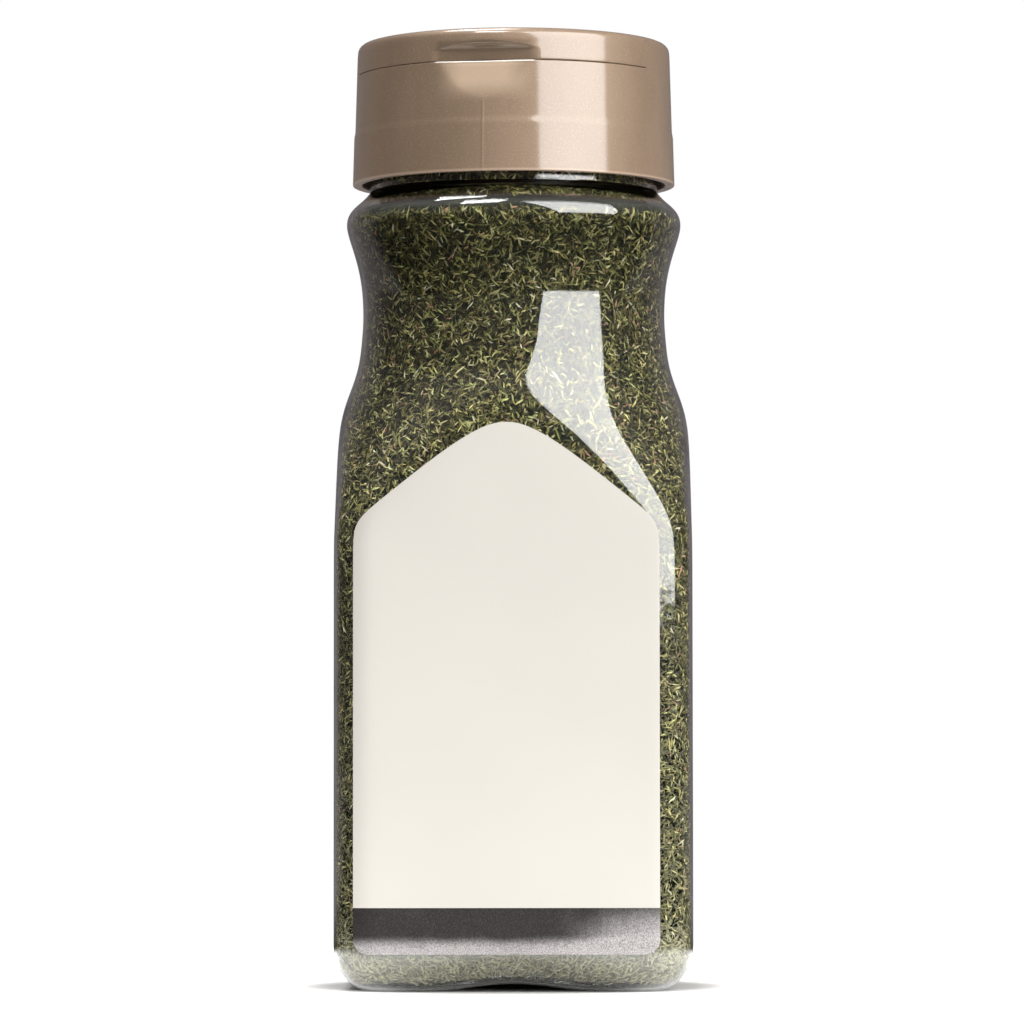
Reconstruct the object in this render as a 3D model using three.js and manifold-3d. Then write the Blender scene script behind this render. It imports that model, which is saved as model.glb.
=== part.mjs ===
// A jar of dried dill: a clear square-grip plastic jar with its fill of dill weed, a house-shaped label
// on the front panel, and a screw cap with two flaps, one over a spoon opening and one over sifter holes.
// Millimetres, +Z up, origin at the centre of the base, front towards -Y.
import * as THREE from "three";
import { mergeVertices } from "three/addons/utils/BufferGeometryUtils.js";
import Module from "manifold-3d";

const wasm = await Module();
wasm.setup();

// ---- Jar: driving dimensions ----
const bodyHalfWidth = 30.95; // axis to a flat panel
const cornerRadius = 7; // of the square body
const creaseSharpness = [30, 16]; // of the crease between grip and panels, below and above the waist
const waistHeights = [108, 118]; // between which the crease passes from one to the other
const wall = 0.7;
const heelRadius = 8;
const archRise = 1.2; // of the base edge between two feet
const archHalfSpan = 20;
const footWidth = 3; // of the flat ring that the jar stands on, broken by the arches
const pushUpRise = 6; // of the base at its centre
const pushUpShares = [0.55, 0.97, 1]; // of its reach, at its rings; the last ring is the feet's inner edge
const pushUpLip = 0.5; // that it stands above the feet just inside them
const neckRadius = 25.45;
const neckFoot = 140.1; // where the shoulder runs into the neck
const gripProfile = [ // [height, radius] of the round grip, from the panels up past the shoulder's ring
  [60, 60], [76, 44.6], [84.8, 38.9], [92, 35.2], [97.8, 32.3], [103.1, 29.8], [108.4, 27.75], [113.8, 26.95],
  [118.5, 26.8], [124.4, 27.3], [129.6, 28.85], [132.4, 30.15], [134, 30.7], [135.4, 30.4], [137, 28.9],
  [138.2, 27.3], [139.3, 26.1], [neckFoot, neckRadius],
];
const neckBore = 24;
const mouthHeight = 159.4;
const lipRound = 0.4; // of the mouth's edges
const threadCrest = 26.15;
const threadPitch = 5;
const threadTurns = 1.3;
const threadFoot = 147.6;
const threadWidth = 2; // at its root
const threadCrestShare = 0.48; // of that width, at its crest
const threadFade = 0.25; // share of its length over which each end rises
const threadEnd = 0.12; // share of its full height that the ends start from
const threadStepsPerTurn = 24;

// ---- Dill fill ----
const fillGap = 0.5; // between the fill and the wall
const fillHeight = 146.5; // at the rim of its top
const fillShoulder = [133, 138.5]; // heights between which the fill draws in from the wall to the neck
const fillMound = 2.4;
const flakeRelief = 0.95; // depth between the flakes
const flakeShare = 0.2; // flakes started per surface point
const flakeLift = 0.7; // least share of the relief that a flake rises
const hollowVariation = 0.25; // share by which the depth between flakes varies
const fillRows = 40;
const fillColumns = 68;
const fillTuck = 2.5; // that the fill's base is set in from its side
const fillLift = 0.6; // of its base over the jar's floor
const fillTopShares = [0.86, 0.7, 0.52, 0.34, 0.16]; // of its radius, at the rings of its top
const fillTopBump = 1.5; // from the lowest to the highest point of a ring
const looseFlakes = 36; // standing out of the top
const looseFlakeLength = 7;
const looseFlakeWidth = 1.3;

// ---- Label ----
const labelHalfWidth = 26.2;
const labelShift = -1.1; // of its middle across the panel
const labelFoot = 6.5;
const labelEaves = 81.9; // where the slopes start
const labelPeak = 97.7;
const labelPeakRound = 6.1; // larger makes the peak rounder
const labelCorner = 2.6;
const labelGap = 0.3;
const labelThickness = 0.35;
const labelRows = [50, 70, 78, 80, labelEaves, 83.5, 87, 89.5, 92, 94.5, 96.5, labelPeak];
const labelShares = [-1, -0.955, -0.9, -0.5, 0, 0.5, 0.9, 0.955, 1]; // of its half width
const labelPeakHalfWidth = 0.4; // where its outline closes at the peak

// ---- Cap ----
const capFoot = 141.3;
const capTop = 166.3;
const capFootRadius = 28.5;
const capTopRadius = 27.75;
const capStepHeight = 150; // a faint step round the skirt
const capStep = 0.16;
const capStepRun = 0.3; // height over which the step is made
const capEdgeRound = 1.5;
const capSegments = 56;
const capBore = 26.8; // beside the thread
const capLandBore = 25.75; // above the thread, round the mouth
const capThreadCrest = 26.45; // inner crest of the cap's thread
const capBoreTop = 156.4; // where the bore starts to narrow to the land
const capLandFoot = 157.6;
const landHeight = 159.7; // underside of the land that seals on the mouth
const landRadius = 22;
const deckUnderside = 160.6;
const deckTop = 162.2;
const partingHeight = 160.6; // where a flap's apron meets the skirt
const flapTurn = -10.6; // degrees, of both flaps about the axis
const flapGap = 0.3;
const hingeOffset = 7; // axis of the cap to each hinge
const flapSpan = 68; // degrees each side of its middle that the apron covers
const flapPlate = 1.9;
const apronInner = 25.9;
const plateEnd = 25.1; // outer radius of the plate past its apron, so that it swings clear of the skirt
const plateEndRoom = 25.9;
const hingeClearance = 0.15; // from a hinge's axis to its flap's plate
const barThickness = 1.5;
const barHollowHalf = 21; // half length of the hollow under the bar
const notchDepth = 1.2;
const notchHeight = 2.5; // of the finger recess in the apron
const notchWidth = 24; // room for the recess and the dish, which run out in the round skirt
const dishDrop = 6.7; // of the finger dish in the skirt
const spoonWidth = 32;
const spoonFar = 20.4;
const spoonNear = 10.2;
const spoonCorner = 3;
const spoonShoulder = 1.2; // how far short of its far edge the opening's sides turn in
const plugDepth = 0.8; // of the plugs below the deck's top
const plugClearance = 0.6;
const plugWall = 1.1;
const sifterHole = 2.45; // radius
const sifterPlaces = [ // [across, out from the axis]
  [-13.2, 12.6], [-6.6, 12.6], [0, 12.6], [6.6, 12.6], [13.2, 12.6], [-9.9, 18.6], [-3.3, 18.6], [3.3, 18.6],
  [9.9, 18.6],
];

const radians = THREE.MathUtils.degToRad;

// ---- Helpers ----

// A seeded stream of numbers from 0 to 1.
function seededRandom(seed) {
  let state = seed;
  return () => {
    state = (state * 1664525 + 1013904223) % 4294967296;
    return state / 4294967296;
  };
}

// A smooth function through [x, y] points, in rising order of x.
function curveThrough(points) {
  const slope = (i, j) => (points[j][1] - points[i][1]) / (points[j][0] - points[i][0]);
  const last = points.length - 1;
  const tangents = points.map((_, i) => slope(Math.max(0, i - 1), Math.min(last, i + 1)));
  return (x) => {
    let i = 0;
    while (i < last - 1 && x > points[i + 1][0]) i++;
    const width = points[i + 1][0] - points[i][0];
    const t = THREE.MathUtils.clamp((x - points[i][0]) / width, 0, 1);
    const [a, b] = [points[i][1], points[i + 1][1]];
    const [ta, tb] = [tangents[i] * width, tangents[i + 1] * width];
    return (2 * t ** 3 - 3 * t ** 2 + 1) * a + (t ** 3 - 2 * t ** 2 + t) * ta
      + (3 * t ** 2 - 2 * t ** 3) * b + (t ** 3 - t ** 2) * tb;
  };
}

const solidFrom = (geometry) => {
  const bare = geometry.clone();
  bare.deleteAttribute("normal");
  bare.deleteAttribute("uv");
  const merged = mergeVertices(bare, 1e-4);
  return new wasm.Manifold(new wasm.Mesh({
    numProp: 3,
    vertProperties: new Float32Array(merged.attributes.position.array),
    triVerts: new Uint32Array(merged.index.array),
  }));
};

function geometryFrom(solid) {
  const { numProp, numVert, vertProperties, triVerts } = solid.getMesh();
  const points = new Float32Array(numVert * 3);
  for (let i = 0; i < numVert; i++) {
    points.set(vertProperties.subarray(i * numProp, i * numProp + 3), i * 3);
  }
  const geometry = new THREE.BufferGeometry();
  geometry.setAttribute("position", new THREE.BufferAttribute(points, 3));
  geometry.setIndex(new THREE.BufferAttribute(triVerts, 1));
  geometry.computeVertexNormals();
  return geometry;
}

// A closed skin over rings of points. Each ring has the same number of points, or is one point at an end.
// The rings run so that their outside is on the right of the way they go, seen along the ring.
function skinOver(rings, diagonalUp = () => true) {
  const points = [];
  const starts = rings.map((ring) => {
    const start = points.length;
    points.push(...ring);
    return start;
  });
  const faces = [];
  for (let r = 0; r + 1 < rings.length; r++) {
    const count = Math.max(rings[r].length, rings[r + 1].length);
    for (let c = 0; c < count; c++) {
      const at = (ring, column) => starts[ring] + (rings[ring].length === 1 ? 0 : column % count);
      const [a, b, d, e] = [at(r, c), at(r, c + 1), at(r + 1, c), at(r + 1, c + 1)];
      if (rings[r].length === 1) faces.push(a, e, d);
      else if (rings[r + 1].length === 1) faces.push(a, b, d);
      else if (diagonalUp(r, c % count, (c + 1) % count)) faces.push(a, b, e, a, e, d);
      else faces.push(a, b, d, b, e, d);
    }
  }
  const geometry = new THREE.BufferGeometry();
  geometry.setAttribute("position", new THREE.Float32BufferAttribute(points.flat(), 3));
  geometry.setIndex(faces);
  return geometry;
}

// A solid of revolution from [radius, height] points that start and end on the axis, outside on the right.
const revolved = (points, segments) =>
  new THREE.LatheGeometry(points.map(([radius, height]) => new THREE.Vector2(radius, height)), segments)
    .rotateX(Math.PI / 2);

// A prism over an outline in X and Y.
const prism = (shape, low, high, curveSegments = 4) =>
  new THREE.ExtrudeGeometry(shape, { depth: high - low, bevelEnabled: false, curveSegments })
    .translate(0, 0, low);

// ---- Jar ----

const gripRadius = curveThrough(gripProfile);

// Radius of the rounded square of the body, at an angle about the axis.
function squareRadius(angle, halfWidth, corner) {
  const across = Math.max(Math.abs(Math.cos(angle)), Math.abs(Math.sin(angle)));
  const along = Math.min(Math.abs(Math.cos(angle)), Math.abs(Math.sin(angle)));
  const centre = halfWidth - corner;
  if (halfWidth * along / across <= centre) return halfWidth / across;
  return centre * (across + along) + Math.sqrt(corner ** 2 - (centre * (across - along)) ** 2);
}

// Radius of the jar between the heel and the shoulder ring, set in from the outside by inset.
function bodyRadius(angle, height, inset = 0) {
  const square = squareRadius(angle, bodyHalfWidth - inset, cornerRadius - Math.min(inset, 2));
  const grip = gripRadius(height) - inset;
  const rise = THREE.MathUtils.smoothstep(height, ...waistHeights);
  const power = -THREE.MathUtils.lerp(...creaseSharpness, rise);
  return (square ** power + grip ** power) ** (1 / power);
}

const polar = (angle, radius, height) => [radius * Math.cos(angle), radius * Math.sin(angle), height];

// Rise of the base edge, which arches between the four feet.
function footRise(angle) {
  const side = bodyHalfWidth * Math.min(Math.abs(Math.tan(angle)), Math.abs(1 / Math.tan(angle)));
  return side < archHalfSpan ? archRise * Math.cos(0.5 * Math.PI * side / archHalfSpan) ** 2 : 0;
}

// Angles round the body, closer together at its corners.
function bodyAngles(perSide) {
  const angles = [];
  for (let side = 0; side < 4; side++) {
    for (let i = 0; i < perSide; i++) {
      const across = 2 * i / perSide - 1;
      angles.push(radians(90 * side + 45 + 45 * Math.sign(across) * Math.abs(across) ** 1.5));
    }
  }
  return angles;
}

const middleOf = (ring) => ring.reduce((sum, p) => sum.map((v, k) => v + p[k] / ring.length), [0, 0, 0]);
const range = (count) => [...Array(count).keys()];
const between = (low, high, count) => range(count).map((i) => low + (high - low) * i / (count - 1));

// Rings of the jar's skin set in by inset, from the centre of the base up to the shoulder.
function jarRings(angles, inset, bodyRows) {
  const heel = heelRadius - inset;
  const rings = [[[0, 0, pushUpRise + inset]]];
  for (const share of pushUpShares) { // the push-up under the base, which ends at the flat feet
    rings.push(angles.map((angle) => {
      const reach = bodyRadius(angle, heelRadius) - heelRadius - footWidth;
      const rise = pushUpRise * (1 - share ** 2) + footRise(angle) * share ** 2;
      const lip = share === pushUpShares[1] ? pushUpLip : 0;
      return polar(angle, reach * share, rise + lip + inset);
    }));
  }
  for (const turn of between(0, 90, 4)) { // the heel
    rings.push(angles.map((angle) => {
      const radius = bodyRadius(angle, heelRadius) - heelRadius + heel * Math.sin(radians(turn));
      const low = footRise(angle) + inset;
      return polar(angle, radius, heelRadius - (heelRadius - low) * Math.cos(radians(turn)));
    }));
  }
  for (const height of bodyRows) {
    rings.push(angles.map((angle) => polar(angle, bodyRadius(angle, height, inset), height)));
  }
  return rings;
}

// A helical ridge about the axis with a tapered start and end, from its root out or in to its crest.
function threadRidge(root, crest, foot) {
  const steps = Math.round(threadTurns * threadStepsPerTurn);
  const sink = Math.sign(root - crest) * 0.3; // into the wall that carries it
  const half = threadWidth / 2;
  const crestHalf = half * threadCrestShare;
  const rings = range(steps + 1).map((i) => {
    const angle = 2 * Math.PI * threadTurns * i / steps;
    const full = Math.min(1, Math.min(i, steps - i) / steps / threadFade + threadEnd);
    const middle = foot + threadPitch * threadTurns * i / steps;
    const tip = root + (crest - root) * full;
    const section = [
      [root + sink, -half], [tip, -crestHalf], [tip, crestHalf], [root + sink, half],
    ];
    return section.map(([radius, up]) => polar(angle, radius, middle + up));
  });
  const ordered = crest < root ? rings : rings.map((ring) => [...ring].reverse());
  return skinOver([[middleOf(ordered[0])], ...ordered, [middleOf(ordered[steps])]]);
}

function jar() {
  const angles = bodyAngles(12);
  const outerRows = [70, 79, 84, 88, 92, 96, 101, 106, 112, 119, 126, 130.5, 134.6, 135.8, 137.2, 138.6];
  const innerRows = [76, 84, 88, 92, 97, 104, 112, 124, 131, 134.4, 136.8, 138.8];
  const outer = jarRings(angles, 0, outerRows);
  const inner = jarRings(angles, wall, innerRows);
  const round = (radius, height) => angles.map((angle) => polar(angle, radius, height));
  const rim = [
    round(neckRadius, neckFoot), round(neckRadius, mouthHeight - lipRound),
    round(neckRadius - lipRound, mouthHeight), round(neckBore + lipRound, mouthHeight),
    round(neckBore, mouthHeight - lipRound), round(neckBore, neckFoot),
  ];
  const shell = solidFrom(skinOver([...outer, ...rim, ...inner.reverse()]));
  return geometryFrom(shell.add(solidFrom(threadRidge(neckRadius, threadCrest, threadFoot))));
}

// ---- Dill ----

// Points of the fill's surface round its wall, from the base to the rim of its top.
function fillPoint(angle, height) {
  const inset = wall + fillGap;
  const [low, high] = fillShoulder;
  if (height > low) {
    const rise = Math.min(1, (height - low) / (high - low));
    const shoulder = bodyRadius(angle, low, inset) * (1 - rise) + (neckBore - fillGap) * rise;
    return polar(angle, shoulder, height);
  }
  const heel = Math.max(0, heelRadius - height) / (heelRadius - inset - archRise);
  const tuck = (heelRadius - inset) * (1 - Math.sqrt(Math.max(0, 1 - heel ** 2)));
  return polar(angle, bodyRadius(angle, height, inset) - tuck, height);
}

function dill() {
  const [columns, rows] = [fillColumns, fillRows];
  const random = seededRandom(7);
  const foot = wall + fillGap + archRise + fillLift;
  const angles = range(columns).map((i) => {
    const share = (4 * i / columns) % 1;
    const quarter = Math.floor(4 * i / columns);
    return radians(90 * quarter + 45) + Math.atan(2 * share - 1); // evenly spaced along a flat side
  });
  const heights = between(foot, fillHeight, rows);

  // Flakes: short runs of raised points, each in its own direction, with lower points round them.
  const raised = heights.map(() => Array(columns).fill(0));
  for (let flake = 0; flake < flakeShare * columns * rows; flake++) {
    const [row, column] = [Math.floor(random() * rows), Math.floor(random() * columns)];
    const [up, across] = [[0, 1], [1, 0], [1, 1], [1, -1]][Math.floor(random() * 4)];
    const lift = flakeLift + (1 - flakeLift) * random();
    for (const step of range(2 + Math.floor(random() * 2))) {
      const line = raised[row + step * up];
      if (line) line[(column + step * across + columns) % columns] = lift;
    }
  }
  const depth = (row, column) =>
    flakeRelief * (1 - raised[row][column]) * (1 - hollowVariation * random());
  const sides = heights.map((height, row) => angles.map((angle, column) => {
    const [x, y] = fillPoint(angle, height);
    return polar(angle, Math.hypot(x, y) - depth(row, column), height);
  }));
  const top = fillTopShares.map((share, ring) => angles.map((angle, column) => {
    const coarse = column % (ring + 1) === 0 ? 1 : 0.3; // fewer full bumps where the points crowd together
    const bump = fillTopBump * (random() - 0.5) * coarse * Math.min(1, 2 * share);
    return polar(angle, (neckBore - 1) * share, fillHeight + fillMound * (1 - share ** 2) + bump);
  }));
  const base = [0.5, 1].map((share) => angles.map((angle) => {
    const reach = Math.hypot(...fillPoint(angle, foot)) - fillTuck;
    return polar(angle, reach * share, foot + (pushUpRise - archRise) * (1 - share) + 0.2);
  }));
  const rings = [[[0, 0, foot + pushUpRise - archRise]], ...base, ...sides, ...top];
  rings.push([[0, 0, fillHeight + fillMound]]);

  const firstSide = 1 + base.length;
  const alongFlake = (ring, left, right) => {
    const row = ring - firstSide;
    if (row < 0 || row >= rows - 1) return true;
    return raised[row][left] + raised[row + 1][right] >= raised[row][right] + raised[row + 1][left];
  };
  let heap = solidFrom(skinOver(rings, alongFlake));

  for (let i = 0; i < looseFlakes; i++) { // slim three-sided flakes that stand out of the top
    const flake = new THREE.ConeGeometry(looseFlakeWidth / 2, looseFlakeLength, 3);
    const out = (neckBore - 5.5) * Math.sqrt((i + 0.5) / looseFlakes);
    const turn = 2.4 * i;
    flake.rotateX(radians(20 + 50 * random())).rotateZ(2 * Math.PI * random());
    const share = out / neckBore;
    const height = fillHeight + fillMound * (1 - share ** 2) + 0.2;
    flake.translate(out * Math.cos(turn), out * Math.sin(turn), height);
    heap = heap.add(solidFrom(flake));
  }
  return geometryFrom(heap);
}

// ---- Label ----

// Point on the front panel at a place across and a height, moved out along the surface's normal.
function frontPoint(across, height, out) {
  const onPanel = (x, z) => {
    let depth = bodyHalfWidth;
    for (let i = 0; i < 12; i++) {
      const radius = bodyRadius(Math.atan2(x, depth), z);
      depth = Math.sqrt(Math.max(1, radius ** 2 - x ** 2));
    }
    return new THREE.Vector3(x, -depth, z);
  };
  const point = onPanel(across, height);
  const side = onPanel(across + 0.05, height).sub(onPanel(across - 0.05, height));
  const rise = onPanel(across, height + 0.05).sub(onPanel(across, height - 0.05));
  return point.addScaledVector(side.cross(rise).normalize(), out).toArray();
}

// Half width of the house-shaped label at a height: straight slopes that meet in a rounded peak.
function labelReach(height) {
  const drop = labelFoot + labelCorner - height;
  if (drop > 0) return labelHalfWidth - labelCorner + Math.sqrt(labelCorner ** 2 - drop ** 2);
  const roof = (z) => Math.sqrt(Math.max(0, (labelPeak + labelPeakRound - z) ** 2 - labelPeakRound ** 2));
  const reach = labelHalfWidth * roof(height) / roof(labelEaves);
  return THREE.MathUtils.clamp(reach, labelPeakHalfWidth, labelHalfWidth);
}

function label() {
  const cornerRows = [0, 0.13, 0.42, 1].map((share) => labelFoot + share * labelCorner);
  const heights = [...cornerRows, ...labelRows];
  const sheet = (out) => heights.map((height) =>
    labelShares.map((share) => frontPoint(labelShift + share * labelReach(height), height, out)));
  const back = sheet(labelGap);
  const front = sheet(labelGap + labelThickness);
  // Each ring goes once round the sheet's section at one height.
  const rings = heights.map((_, i) => [...front[i], ...back[i].reverse()]);
  return skinOver([[middleOf(rings[0])], ...rings, [middleOf(rings[rings.length - 1])]]);
}

// ---- Cap ----

const pastSkirt = 32; // a radius and a height that cutting shapes reach, clear of the cap
const pastTop = 170;
const capRadius = (height) =>
  THREE.MathUtils.mapLinear(height, capFoot, capTop, capFootRadius, capTopRadius)
    - (height > capStepHeight ? capStep : 0);

// The outside of the cap, from the skirt's foot up over the rounded top edge.
function capOutside() {
  const points = [[capRadius(capFoot), capFoot]];
  points.push([capRadius(capStepHeight), capStepHeight]);
  points.push([capRadius(capStepHeight + capStepRun), capStepHeight + capStepRun]);
  for (const turn of between(0, 90, 4)) {
    const centre = capRadius(capTop) - capEdgeRound;
    points.push([
      centre + capEdgeRound * Math.cos(radians(turn)),
      capTop - capEdgeRound + capEdgeRound * Math.sin(radians(turn)),
    ]);
  }
  return points;
}

// The part of a circle beyond a line at -Y, as an outline.
function beyondHinge(radius, line) {
  const reach = Math.asin(line / radius);
  const shape = new THREE.Shape();
  shape.absarc(0, 0, radius, Math.PI + reach, 2 * Math.PI - reach, false);
  return shape;
}

// A sector about -Y, from a radius out past the skirt.
function outerSector(inner, halfAngle) {
  const shape = new THREE.Shape();
  const middle = 1.5 * Math.PI;
  shape.absarc(0, 0, pastSkirt, middle - halfAngle, middle + halfAngle, false);
  shape.absarc(0, 0, inner, middle + halfAngle, middle - halfAngle, true);
  return shape;
}

// A flap's own outline with no gap, or with a gap the room that it takes in the cap.
function flapShape(plateRadius, gap) {
  const upTo = (shape, low) => solidFrom(prism(shape, low, pastTop, 18));
  const reach = radians(flapSpan) + gap / apronInner;
  const plate = upTo(beyondHinge(plateRadius, hingeOffset + hingeClearance - gap), deckTop);
  const apron = upTo(outerSector(apronInner - gap, reach), partingHeight + flapGap - gap);
  const shoulder = upTo(outerSector(landRadius, reach), deckTop); // between the plate and the apron
  return plate.add(apron).add(shoulder);
}

// The spoon opening's outline, set in by an inset.
function spoonOutline(inset) {
  const [half, near, far] = [spoonWidth / 2 - inset, -spoonNear - inset, -spoonFar + inset];
  const corner = spoonCorner - inset / 2;
  const shape = new THREE.Shape();
  shape.moveTo(-half + corner, near);
  shape.absarc(-half + corner, near - corner, corner, Math.PI / 2, Math.PI, false);
  shape.quadraticCurveTo(-half * 0.82, far + spoonShoulder, -half * 0.4, far);
  shape.lineTo(half * 0.4, far);
  shape.quadraticCurveTo(half * 0.82, far + spoonShoulder, half, near - corner);
  shape.absarc(half - corner, near - corner, corner, 0, Math.PI / 2, false);
  shape.closePath();
  return shape;
}

function cap() {
  let body = solidFrom(revolved([
    [0, deckUnderside], [landRadius, deckUnderside], [landRadius, landHeight], [capLandBore, landHeight],
    [capLandBore, capLandFoot], [capBore, capBoreTop], [capBore, capFoot], ...capOutside(), [0, capTop],
  ], capSegments));

  const frontRoom = flapShape(plateEndRoom, flapGap);
  body = body.subtract(frontRoom).subtract(frontRoom.rotate([0, 0, 180]));
  const hollowTop = capTop - barThickness; // of the hollow under the bar between the hinges
  const hollowDepth = hollowTop - deckUnderside + 2;
  const core = new THREE.BoxGeometry(2 * barHollowHalf, 2 * (hingeOffset - barThickness), hollowDepth);
  body = body.subtract(solidFrom(core.translate(0, 0, hollowTop - hollowDepth / 2)));
  body = body.subtract(solidFrom(prism(spoonOutline(0), deckUnderside - 2, pastTop)));
  for (const [across, out] of sifterPlaces) {
    const through = 4 * (deckTop - deckUnderside);
    const hole = new THREE.CylinderGeometry(sifterHole, sifterHole, through, 14).rotateX(Math.PI / 2);
    body = body.subtract(solidFrom(hole.translate(across, out, deckTop)));
  }
  body = body.subtract(fingerDish()).subtract(fingerDish().rotate([0, 0, 180]));
  return body.add(solidFrom(threadRidge(capBore, capThreadCrest, threadFoot - threadPitch / 2)));
}

// A slanting cut in the skirt below a flap's finger recess.
function fingerDish() {
  const top = capRadius(partingHeight) - notchDepth;
  const foot = capRadius(partingHeight - dishDrop);
  const [low, high] = [partingHeight - dishDrop, partingHeight + 0.2];
  const shape = new THREE.Shape([
    new THREE.Vector2(-top, high), new THREE.Vector2(-foot, low),
    new THREE.Vector2(-pastSkirt, low), new THREE.Vector2(-pastSkirt, high),
  ]);
  const cut = new THREE.ExtrudeGeometry(shape, { depth: notchWidth, bevelEnabled: false });
  return solidFrom(cut.translate(0, 0, -notchWidth / 2).rotateX(Math.PI / 2).rotateZ(Math.PI / 2));
}

// A flap without its plugs, at the front of the cap.
function flap() {
  const outside = capOutside().filter(([, height]) => height > capStepHeight + capStepRun);
  const low = partingHeight + flapGap;
  const whole = solidFrom(revolved([
    [0, capTop - flapPlate], [apronInner, capTop - flapPlate], [apronInner, low], [capRadius(low), low],
    ...outside, [0, capTop],
  ], capSegments));
  const face = capRadius(capTop) - notchDepth;
  const depth = pastSkirt - face;
  const recess = new THREE.BoxGeometry(notchWidth, depth, 2 * notchHeight);
  recess.translate(0, -face - depth / 2, low);
  return whole.intersect(flapShape(plateEnd, 0)).subtract(solidFrom(recess));
}

const plugFoot = deckTop - plugDepth;
const plugTop = capTop - flapPlate / 2;

function spoonFlap() {
  const outline = spoonOutline(plugClearance);
  outline.holes.push(spoonOutline(plugClearance + plugWall));
  return flap().add(solidFrom(prism(outline, plugFoot, plugTop)));
}

function sifterFlap() {
  let made = flap().rotate([0, 0, 180]);
  for (const [across, out] of sifterPlaces) {
    const radius = sifterHole - plugClearance;
    const plug = new THREE.CylinderGeometry(radius, radius, plugTop - plugFoot, 10).rotateX(Math.PI / 2);
    made = made.add(solidFrom(plug.translate(across, out, (plugTop + plugFoot) / 2)));
  }
  return made;
}

// ---- Assembly ----

const clearPlastic = new THREE.MeshStandardMaterial({
  color: 0xe6e6e2, roughness: 0.06, metalness: 0, transparent: true, opacity: 0.35,
});
const driedDill = new THREE.MeshStandardMaterial({ color: 0x5d6338, roughness: 0.9, metalness: 0 });
const labelPaper = new THREE.MeshStandardMaterial({ color: 0xebe6d9, roughness: 0.7, metalness: 0 });
const bronzePlastic = new THREE.MeshStandardMaterial({ color: 0xa8927a, roughness: 0.35, metalness: 0.7 });

const group = new THREE.Group();

function place(name, geometry, material, turn = 0) {
  const mesh = new THREE.Mesh(geometry, material);
  mesh.name = name;
  mesh.rotation.z = radians(turn);
  group.add(mesh);
}

place("jar", jar(), clearPlastic);
place("dill", dill(), driedDill);
place("label", label(), labelPaper);
place("cap", geometryFrom(cap()), bronzePlastic, flapTurn);
place("flap_spoon", geometryFrom(spoonFlap()), bronzePlastic, flapTurn);
place("flap_sifter", geometryFrom(sifterFlap()), bronzePlastic, flapTurn);

export default group;
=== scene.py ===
# A jar of dried dill: clear square-grip jar, its fill of dill, a bare house-shaped label and a two-flap cap
# Metres, +Z up, origin at the centre of the base, front towards -Y
import math
import bmesh
import bpy
import numpy as np
from mathutils import Matrix, Vector
from mathutils.geometry import tessellate_polygon


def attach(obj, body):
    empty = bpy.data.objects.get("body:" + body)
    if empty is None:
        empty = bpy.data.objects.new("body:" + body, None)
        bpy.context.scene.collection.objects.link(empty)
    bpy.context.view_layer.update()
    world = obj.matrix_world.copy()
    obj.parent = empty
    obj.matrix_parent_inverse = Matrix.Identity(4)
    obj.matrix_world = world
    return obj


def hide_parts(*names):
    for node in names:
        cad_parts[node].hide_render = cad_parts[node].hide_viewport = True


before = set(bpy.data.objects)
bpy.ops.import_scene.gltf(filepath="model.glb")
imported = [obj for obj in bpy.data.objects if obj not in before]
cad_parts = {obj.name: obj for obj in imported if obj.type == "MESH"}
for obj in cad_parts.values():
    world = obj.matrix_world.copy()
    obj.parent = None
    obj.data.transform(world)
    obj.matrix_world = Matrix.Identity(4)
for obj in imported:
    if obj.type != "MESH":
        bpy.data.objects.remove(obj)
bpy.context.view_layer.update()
print("frame loaded")


def smoothCurve(points):  # natural cubic spline through (x, y) points
    x, y = np.array(points, float).T
    step = np.diff(x)
    size = len(x)
    matrix = np.eye(size)
    side = np.zeros(size)
    for i in range(1, size - 1):
        matrix[i, i - 1:i + 2] = step[i - 1], 2 * (step[i - 1] + step[i]), step[i]
        side[i] = 6 * ((y[i + 1] - y[i]) / step[i] - (y[i] - y[i - 1]) / step[i - 1])
    bend = np.linalg.solve(matrix, side)

    def at(places):
        places = np.clip(places, x[0], x[-1])
        i = np.clip(np.searchsorted(x, places) - 1, 0, size - 2)
        right = (places - x[i]) / step[i]
        left = 1 - right
        cubic = (left ** 3 - left) * bend[i] + (right ** 3 - right) * bend[i + 1]
        return left * y[i] + right * y[i + 1] + cubic * step[i] ** 2 / 6
    return at


def smoothStep(low, high, x):
    t = np.clip((x - low) / (high - low), 0, 1)
    return t * t * (3 - 2 * t)


def atHeight(x, y, height):  # points over arrays of x and y, at one height or at a height each
    return np.stack([x, y, np.broadcast_to(height, np.shape(x))], -1)


def newObject(name, data):
    made = bpy.data.objects.new(name, data)
    bpy.context.scene.collection.objects.link(made)
    return made


def meshFrom(points, faces, sharpAngle=40):  # closed bodies, turned to face out
    mesh = bpy.data.meshes.new("piece")
    mesh.from_pydata([tuple(p) for p in points], [], faces)
    body = bmesh.new()
    body.from_mesh(mesh)
    bmesh.ops.recalc_face_normals(body, faces=body.faces)
    body.to_mesh(mesh)
    body.free()
    mesh.shade_smooth()
    mesh.set_sharp_from_angle(angle=math.radians(sharpAngle))
    return mesh


def loft(sections, closedAround=False):
    # Points and faces over closed sections of equally many points, with ends capped unless it closes around
    sections = np.asarray(sections)
    ways, count = sections.shape[:2]
    faces = []
    for i in range(ways if closedAround else ways - 1):
        here, there = i * count, (i + 1) % ways * count
        for j in range(count):
            k = (j + 1) % count
            faces.append((here + j, here + k, there + k, there + j))
    if not closedAround:
        faces.append(tuple(range(count)))
        faces.append(tuple(range(ways * count - 1, (ways - 1) * count - 1, -1)))
    return sections.reshape(-1, 3), faces


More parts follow.
